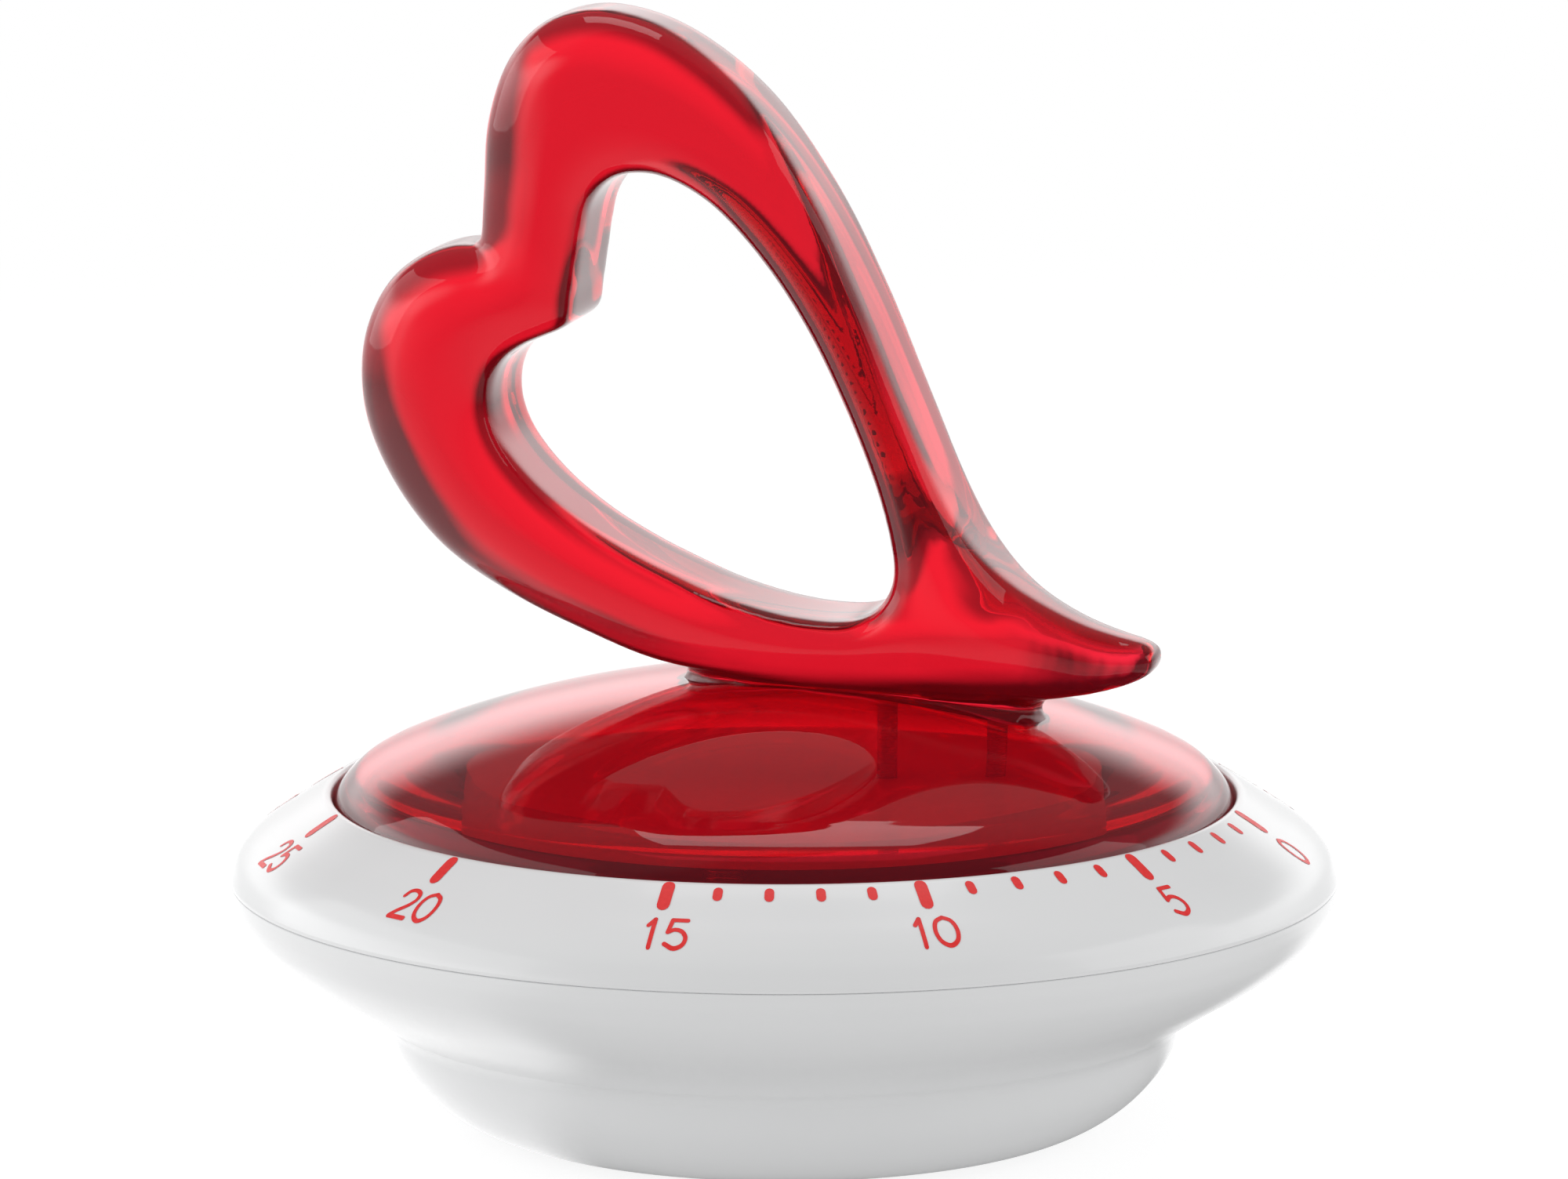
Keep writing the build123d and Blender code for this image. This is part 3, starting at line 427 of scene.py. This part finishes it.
# ---------------------------------------------------------------- case
# outlines are (radius, height) in millimetres
DIAL_TOP = [(41.6, 30.38), (43.2, 29.42), (45.3, 28.06), (47.0, 26.95), (48.4, 25.87), (49.4, 24.75),
            (50.0, 23.5), (50.2, 22.95)]
SAUCER = [(50.18, 22.2), (50.05, 21.2), (49.65, 20.2), (49.0, 19.1), (47.9, 17.9), (46.25, 16.5),
          (44.1, 15.0), (41.3, 13.3), (38.88, 11.75), (36.6, 10.25)]
FOOT = [(36.0, 9.3), (35.6, 7.85), (34.97, 6.45), (34.0, 5.05), (32.25, 3.22), (30.2, 1.75),
        (28.15, 0.80), (26.4, 0.36)]
WELL = 40.9                      # radius of the opening that the dome turns in


def make_case(mat):
    dial = [(WELL, z) for z in (25.0, 27.0, 29.6)] + arc((41.3, 30.0), 0.4, 180, 90, 4)
    dial += [tuple(p) for p in smooth_path(DIAL_TOP, 6)]
    dial += [(50.17, 22.68), (50.07, 22.61), (48.0, 22.61), (48.0, 24.4)]
    dial += [tuple(p) for p in smooth_path([(48.0, 24.4), (46.2, 25.1), (43.1, 26.6)], 6)][1:]
    dial += [(43.1, 23.2), (36.0, 23.2), (36.0, 25.0)]
    obj = lathe("dial_ring_moulding", dial, "case", mat)
    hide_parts("dial_ring")

    base = [(47.0, 22.59), (50.07, 22.59), (50.17, 22.52)]
    base += [tuple(p) for p in smooth_path(SAUCER, 6)]
    base += [tuple(p) for p in smooth_path(FOOT, 6)]
    base += [(26.0, 0.3), (24.5, 0.3), (24.5, 1.2), (20.0, 1.2), (20.0, 0.3), (0, 0.3), (0, 2.4)]
    base += [(26.0, 2.4)]
    base += [(31.2, 5.1), (33.0, 7.6), (35.1, 11.9), (40.2, 14.9), (45.2, 18.1), (47.0, 20.2)]
    obj = lathe("base_moulding", base, "case", mat)
    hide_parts("base_shell")


# ---------------------------------------------------------------- printed scale
MAJOR = (41.55, 44.6, 1.15)     # inner radius, outer radius and width of the five-minute marks
MINOR = (42.0, 43.45, 0.84)
DIGIT_R = (48.25, 45.55)         # radii of the digits' feet and heads
DIGIT_W = 2.05
ONE_WIDTH = 0.62                # the 1's share of that width
DIGIT_GAP = 0.5
STROKE = 0.39
PRINT_LIFT = 0.05
DROP_FROM = 0.05                # metres: a height above the whole dial ring
MINUTE = -6                     # degrees of one minute on the scale
LAST_TICK = 15                  # the photograph shows ticks between the five-minute marks up to here
MARK_STEPS = 5
DIGITS = {
    "0": [[(0.5, 1), (0.16, 0.86), (0.02, 0.5), (0.16, 0.14), (0.5, 0),
           (0.84, 0.14), (0.98, 0.5), (0.84, 0.86), (0.5, 1)]],
    "1": [[(0.12, 0.76), (0.5, 1.0), (0.5, 0.0)]],
    "2": [[(0.08, 0.74), (0.2, 0.94), (0.5, 1.0), (0.82, 0.9), (0.9, 0.68),
           (0.72, 0.45), (0.3, 0.18), (0.06, 0.0), (0.94, 0.0)]],
    "3": [[(0.1, 0.82), (0.3, 0.98), (0.6, 0.99), (0.86, 0.84), (0.84, 0.62), (0.6, 0.53), (0.4, 0.53)],
          [(0.6, 0.53), (0.88, 0.42), (0.93, 0.2), (0.72, 0.02), (0.36, 0.0), (0.08, 0.17)]],
    "4": [[(0.76, 0.0), (0.76, 1.0), (0.06, 0.3), (0.98, 0.3)]],
    "5": [[(0.88, 1.0), (0.22, 1.0), (0.12, 0.54), (0.4, 0.64), (0.72, 0.58),
           (0.92, 0.36), (0.84, 0.12), (0.5, 0.0), (0.08, 0.13)]],
}
NUDGE = {15: 1.0, 20: 0.5, 5: 0.3}      # how far a number stands off its mark, along the scale
SHARP_TURNS = {"1": (1,), "2": (7,), "4": (1, 2), "5": (1, 2)}


def ribbon(path, width):
    """Outline of a stroke of constant width with round ends."""
    left, right = [], []
    for i, p in enumerate(path):
        a = path[max(i - 1, 0)]
        b = path[min(i + 1, len(path) - 1)]
        t = (b - a).normalized()
        n = Vector((-t.y, t.x)) * width / 2
        left.append(p + n)
        right.append(p - n)

    def cap(center, from_point, steps=6):
        spoke = from_point - center
        out = []
        for k in range(1, steps):
            a = -math.pi * k / steps
            out.append(center + Vector((spoke.x * math.cos(a) - spoke.y * math.sin(a),
                                        spoke.x * math.sin(a) + spoke.y * math.cos(a))))
        return out

    return left, right, cap(path[-1], left[-1]), cap(path[0], right[0])


def digit_strokes(text, minute):
    """Strokes of a numeral round the scale, in millimetres, heads towards the centre."""
    angle = math.radians(MINUTE * minute)
    widths = [DIGIT_W * (ONE_WIDTH if ch == "1" else 1.0) for ch in text]
    total = sum(widths) + DIGIT_GAP * (len(text) - 1)
    strokes = []
    x = NUDGE.get(minute, 0) - total / 2
    foot, head = DIGIT_R
    for ch, w in zip(text, widths):
        for n, line in enumerate(DIGITS[ch]):
            flat = [Vector((x + u * w, foot + (head - foot) * v)) for u, v in line]
            corners = SHARP_TURNS.get(ch, ()) if n == 0 else ()
            runs, start = [], 0
            for c in list(corners) + [len(flat) - 1]:
                runs.append(flat[start:c + 1])
                start = c
            for run in runs:
                if len(run) > 2:
                    path = smooth_path(run, 5)
                else:
                    path = [run[0].lerp(run[1], k / 8) for k in range(9)]
                bent = []
                for p in path:
                    # read from outside the timer: x runs counter-clockwise seen from above
                    a = angle + p.x / ((foot + head) / 2)
                    bent.append(Vector((p.y * math.cos(a), p.y * math.sin(a))))
                strokes.append(bent)
        x += w + DIGIT_GAP
    return strokes


def make_scale(mat):
    dial = bpy.data.objects["dial_ring_moulding"]
    points = [v.co.copy() for v in dial.data.vertices]
    polygons = [tuple(p.vertices) for p in dial.data.polygons]
    tree = BVHTree.FromPolygons(points, polygons)

    def drop(p):
        hit = tree.ray_cast(Vector((p.x * MM, p.y * MM, DROP_FROM)), Vector((0, 0, -1)))
        return Vector((p.x * MM, p.y * MM, hit[0].z + PRINT_LIFT * MM))

    verts, faces = [], []

    def add_stroke(path, width):
        left, right, end_cap, start_cap = ribbon(path, width)
        base = len(verts)
        for a, b in zip(left, right):
            verts.extend((drop(a), drop(b)))
        for i in range(len(left) - 1):
            k = base + 2 * i
            faces.append((k, k + 1, k + 3, k + 2))
        for cap, first, last in ((end_cap, base + 2 * len(left) - 2, base + 2 * len(left) - 1),
                                 (start_cap, base + 1, base)):
            at = len(verts)
            verts.extend(drop(p) for p in cap)
            faces.append((first, *range(at, at + len(cap)), last))

    for minute in range(60):
        major = minute % 5 == 0
        if not major and minute > LAST_TICK:
            continue
        r0, r1, width = MAJOR if major else MINOR
        a = math.radians(MINUTE * minute)
        out = Vector((math.cos(a), math.sin(a)))
        inner, outer = r0 + width / 2, r1 - width / 2
        radii = [inner + (outer - inner) * k / MARK_STEPS for k in range(MARK_STEPS + 1)]
        add_stroke([out * radius for radius in radii], width)
    for minute in range(0, 60, 5):
        for stroke in digit_strokes(str(minute), minute):
            add_stroke(stroke, STROKE)
    piece_from("scale_print", verts, faces, "case", mat, smooth=False)


# ---------------------------------------------------------------- knob dome
DOME_APEX = 41.0
CAP_R = 95.9                     # radius of the sphere that the top is a cap of
CAP_END = 34.7                   # radius at which the cap turns into the shoulder
CAP_STEPS = 24
DOME_WALL = 2.2
DOME_SHOULDER = [(34.7, 34.5), (36.6, 33.68), (38.3, 32.74), (39.3, 31.85), (40.15, 30.85), (40.6, 30.0)]


def dome_z(r):
    """Height of the dome's outside over a radius on its cap, in millimetres."""
    return DOME_APEX - (CAP_R - math.sqrt(CAP_R ** 2 - r * r))


def make_dome(mat):
    radii = [CAP_END * k / CAP_STEPS for k in range(CAP_STEPS)]
    outline = [(r, dome_z(r)) for r in radii]
    outline += [tuple(p) for p in smooth_path(DOME_SHOULDER, 6)]
    outline += [(40.6, 29.2), (40.5, 28.9), (40.3, 28.8)]
    outline += [(38.5, 28.8), (38.27, 28.9), (38.2, 29.2), (38.2, 29.6)]
    inner = [(38.2, 29.6), (37.6, 30.6), (36.4, 31.4), (34.2, 32.3), (31.5, 33.3)]
    outline += [tuple(p) for p in smooth_path(inner, 5)][1:]
    outline += [(r, dome_z(r) - DOME_WALL) for r in (29, 26, 23, 20, 17, 14, 11, 8, 5, 2.5, 0)]
    obj = lathe("dome_moulding", outline, "knob", mat)
    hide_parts("knob_dome")


# ---------------------------------------------------------------- heart handle
HEART_HALF = 7.25                # half thickness
EDGE_ROUND = 5.0
ROUND_SHARE = 0.36               # most of the limb's width that its edge rounding may take
TAIL_ROUND = 1.75
CROWN = 0.018                    # rise of the flat sides over their width
HOLE_ROUND = 1.9
TAIL_FROM, TAIL_TIP = 16.0, 34.75
TAIL_HALF = 3.2
TAIL_ROUND_LEAD = 2.5            # the tail has its own rounding this far before its tip
TAIL_ROUND_TOP = 60              # only what is below these heights belongs to the tail
TAIL_THIN_TOP = 62
HALF_SHARE = 0.92                # most of the half thickness that the edge rounding may take
EDGE_STEPS, SIDE_STEPS, HOLE_STEPS = 8, 12, 6
NECK_X = (-8.6, 23.6)
NECK_HALF = 4.1
NECK_FLARE = 1.6
NECK_SPAN = (-0.9, 5.2)          # from the dome's surface
NECK_WAIST = 0.9
NECK_CURVE = 1.6                 # distance from the waist at which the flare is full
NECK_TOP_FLARE = 0.9
NECK_SIDE = 0.8                  # share of the flare on the two long sides
NECK_CORNER = 4
HEART_GRID = 0.40                # size of the even grid that the heart and neck are joined on
HEART_POLISH = 34                # rounds of smoothing after that

# the outer edge clockwise from the cleft, in millimetres; the cleft itself is a sharp corner
OUTER = [
    (-27.15, 79.7), (-27.05, 85.0), (-26.7, 91.0), (-24.6, 96.9), (-21.3, 100.15), (-17.2, 101.3),
    (-12.2, 100.5), (-7.6, 98.2), (-1.8, 93.3), (4.0, 85.0), (8.5, 76.0), (12.4, 66.7), (16.5, 57.5),
    (19.2, 53.3), (22.7, 49.9), (27.3, 47.3), (31.2, 46.0), (33.4, 45.45), (34.5, 44.8), (34.75, 43.9),
    (34.35, 43.0), (33.0, 42.1), (29.5, 40.95), (24.5, 40.15), (17.0, 39.75), (8.3, 40.5), (-3.3, 41.5),
    (-10.9, 42.7), (-17.3, 45.0), (-24.4, 48.1), (-30.9, 52.25), (-35.7, 58.2), (-38.3, 64.5),
    (-38.35, 71.0), (-36.2, 75.9), (-33.3, 78.4), (-30.2, 79.6), (-27.15, 79.7),
]
# the opening's edge, matched to the outer edge point by point
HOLE = [
    (-18.2, 73.4), (-18.1, 75.3), (-17.7, 77.9), (-17.2, 81.4), (-16.5, 84.2), (-14.7, 86.3),
    (-12.3, 86.95), (-9.6, 86.6), (-5.5, 84.4), (-1.0, 79.8), (3.1, 73.9), (6.8, 66.6), (9.55, 59.8),
    (10.7, 56.0), (11.2, 53.6), (11.38, 52.2), (11.3, 50.95), (10.95, 49.9), (10.5, 49.15),
    (9.95, 48.45), (9.3, 47.95), (8.5, 47.5), (7.4, 47.15), (6.0, 46.98), (3.4, 47.05), (-0.2, 47.55),
    (-5.4, 48.98), (-9.2, 50.55), (-13.2, 52.4), (-17.8, 55.1), (-22.1, 58.7), (-25.0, 62.6),
    (-25.84, 66.0), (-25.0, 69.2), (-23.0, 70.9), (-20.8, 71.9), (-19.1, 72.65), (-18.2, 73.4),
]


def loop_normals(points, inward):
    """Unit normals of a clockwise closed loop; inward ones point to its right."""
    n = len(points)
    out = []
    for i in range(n):
        t = (points[(i + 1) % n] - points[i - 1]).normalized()
        out.append(Vector((t.y, -t.x)) * (1 if inward else -1))
    return out


def blend(a, b, t):
    t = max(0.0, min(1.0, t))
    t = t * t * (3 - 2 * t)
    return a + (b - a) * t


def heart_shell():
    """Quads of the open heart: rounded outer edge, slightly crowned sides and a rounded opening."""
    outer = smooth_path(OUTER, 8)[:-1]
    hole = smooth_path(HOLE, 8)[:-1]
    n = len(outer)
    n_out = loop_normals(outer, True)
    n_hole = loop_normals(hole, False)
    for _ in range(3):
        n_out = [(n_out[i - 1] + n_out[i] * 2 + n_out[(i + 1) % n]).normalized() for i in range(n)]
        n_hole = [(n_hole[i - 1] + n_hole[i] * 2 + n_hole[(i + 1) % n]).normalized() for i in range(n)]

    rounds = []
    tail_run = TAIL_TIP - TAIL_ROUND_LEAD - TAIL_FROM
    for p, h in zip(outer, hole):
        tail = blend(0, 1, (p.x - TAIL_FROM) / tail_run) if p.y < TAIL_ROUND_TOP else 0
        widest = min(EDGE_ROUND, ROUND_SHARE * (p - h).length)
        rounds.append(widest + (TAIL_ROUND - widest) * tail)
    for _ in range(6):
        rounds = [(rounds[i - 1] + rounds[i] * 2 + rounds[(i + 1) % n]) / 4 for i in range(n)]

    def half_at(x, z):
        if z >= TAIL_THIN_TOP:
            return HEART_HALF
        return blend(HEART_HALF, TAIL_HALF, (x - TAIL_FROM) / (TAIL_TIP - TAIL_FROM))

    columns = []
    for i in range(n):
        o, h = outer[i], hole[i]
        r = rounds[i]
        half = half_at(o.x, o.y)
        r_y = min(r, half * HALF_SHARE)
        profile = []
        for k in range(EDGE_STEPS + 1):
            b = math.pi / 2 * k / EDGE_STEPS
            p = o + n_out[i] * r * (1 - math.cos(b))
            profile.append((p, half_at(p.x, p.y) - r_y * (1 - math.sin(b))))
        top = profile[-1][0]
        rim = h + n_hole[i] * HOLE_ROUND
        for k in range(1, SIDE_STEPS):
            t = k / SIDE_STEPS
            p = top.lerp(rim, t)
            crown = CROWN * (top - rim).length * math.sin(math.pi * t)
            profile.append((p, half_at(p.x, p.y) + crown))
        for k in range(HOLE_STEPS + 1):
            b = math.pi / 2 * k / HOLE_STEPS
            p = h + n_hole[i] * HOLE_ROUND * (1 - math.sin(b))
            profile.append((p, half_at(p.x, p.y) - HOLE_ROUND * (1 - math.cos(b))))
        front = [Vector((p.x, -y, p.y)) * MM for p, y in profile]
        back = [Vector((p.x, y, p.y)) * MM for p, y in reversed(profile)]
        columns.append(front + back)
    m = len(columns[0])
    verts = [v for col in columns for v in col]
    faces = []
    for i in range(n):
        j = (i + 1) % n
        for k in range(m):
            after = (k + 1) % m
            faces.append((i * m + k, i * m + after, j * m + after, j * m + k))
    return verts, faces


def neck_shell(sides=72, layers=14):
    """The waisted neck, from inside the dome's wall up into the heart's underside."""
    mid, reach = (NECK_X[0] + NECK_X[1]) / 2, (NECK_X[1] - NECK_X[0]) / 2
    low, high = NECK_SPAN
    verts, faces = [], []
    for k in range(layers + 1):
        h = low + (high - low) * k / layers
        flare = NECK_FLARE * min(1.0, abs(h - NECK_WAIST) / NECK_CURVE) ** 2
        if h > NECK_WAIST:
            flare = min(flare, NECK_TOP_FLARE)
        for i in range(sides):
            a = 2 * math.pi * i / sides
            c, s = math.cos(a), math.sin(a)
            straight = reach - NECK_HALF
            x = mid + math.copysign(straight, c) * min(1.0, abs(c) * NECK_CORNER) + c * (NECK_HALF + flare)
            y = s * (NECK_HALF + flare * NECK_SIDE)
            verts.append(Vector((x, y, dome_z(math.hypot(x, y)) + h)) * MM)
    for k in range(layers):
        for i in range(sides):
            j = (i + 1) % sides
            faces.append((k * sides + i, k * sides + j, (k + 1) * sides + j, (k + 1) * sides + i))
    faces.append(tuple(reversed(range(sides))))
    faces.append(tuple(range(layers * sides, (layers + 1) * sides)))
    return verts, faces


def raw_object(name, verts, faces):
    mesh = bpy.data.meshes.new(name)
    mesh.from_pydata([tuple(v) for v in verts], [], faces)
    bm = bmesh.new()
    bm.from_mesh(mesh)
    bmesh.ops.recalc_face_normals(bm, faces=bm.faces)
    bm.to_mesh(mesh)
    bm.free()
    obj = bpy.data.objects.new(name, mesh)
    bpy.context.collection.objects.link(obj)
    return obj


def make_heart(mat):
    heart = raw_object("heart_form", *heart_shell())
    neck = raw_object("neck_form", *neck_shell())
    union = heart.modifiers.new("neck", "BOOLEAN")
    union.operation, union.object, union.solver = "UNION", neck, "EXACT"
    grid = heart.modifiers.new("grid", "REMESH")
    grid.mode, grid.voxel_size = "VOXEL", HEART_GRID * MM
    polish = heart.modifiers.new("polish", "SMOOTH")
    polish.factor, polish.iterations = 0.5, HEART_POLISH
    graph = bpy.context.evaluated_depsgraph_get()
    mesh = bpy.data.meshes.new_from_object(heart.evaluated_get(graph))
    bpy.data.objects.remove(heart)
    bpy.data.objects.remove(neck)
    for poly in mesh.polygons:
        poly.use_smooth = True
    mesh.name = "heart_moulding"
    obj = bpy.data.objects.new("heart_moulding", mesh)
    bpy.context.collection.objects.link(obj)
    mesh.materials.clear()
    mesh.materials.append(mat)
    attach(obj, "knob")
    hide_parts("heart_handle")


# ---------------------------------------------------------------- the rest of the nodes
def dress_nodes(mats):
    for part in frame["record"]["subparts"]:
        node = frame["nodes"][part["node"]]
        node.data.materials.clear()
        node.data.materials.append(mats[part["material_slot"]])
        for poly in node.data.polygons:
            poly.material_index = 0


def main():
    bpy.context.scene.view_settings.view_transform = "Standard"
    make_camera()
    make_studio()
    white, red = white_gloss(), red_clear()
    mats = {
        "case_white": white,
        "knob_red": red,
        "foot_rubber": moulded("foot_rubber", (0.25, 0.25, 0.26), 0.7),
        # the carrier plate is coloured near-black as painted shade: it stands in for the shade of the deep
        # well seen through the dome
        "carrier_black": moulded("carrier_painted_shade", (0.05, 0.045, 0.05), 0.45),
        "bush_nylon": moulded("bush_nylon", (0.72, 0.70, 0.62), 0.45),
        "disc_ivory": moulded("disc_ivory", (0.93, 0.91, 0.89), 0.35, relief=0.05),
        "brass": metal("brass_sheet", (0.78, 0.57, 0.24), 0.28),
        "steel": metal("turned_steel", (0.60, 0.60, 0.62), 0.25),
        "bell_steel": metal("bell_nickel", (0.74, 0.73, 0.70), 0.12, stretch=(1, 1, 4)),
    }
    dress_nodes(mats)
    make_case(white)
    make_scale(print_red())
    make_dome(red)
    make_heart(red)


main()
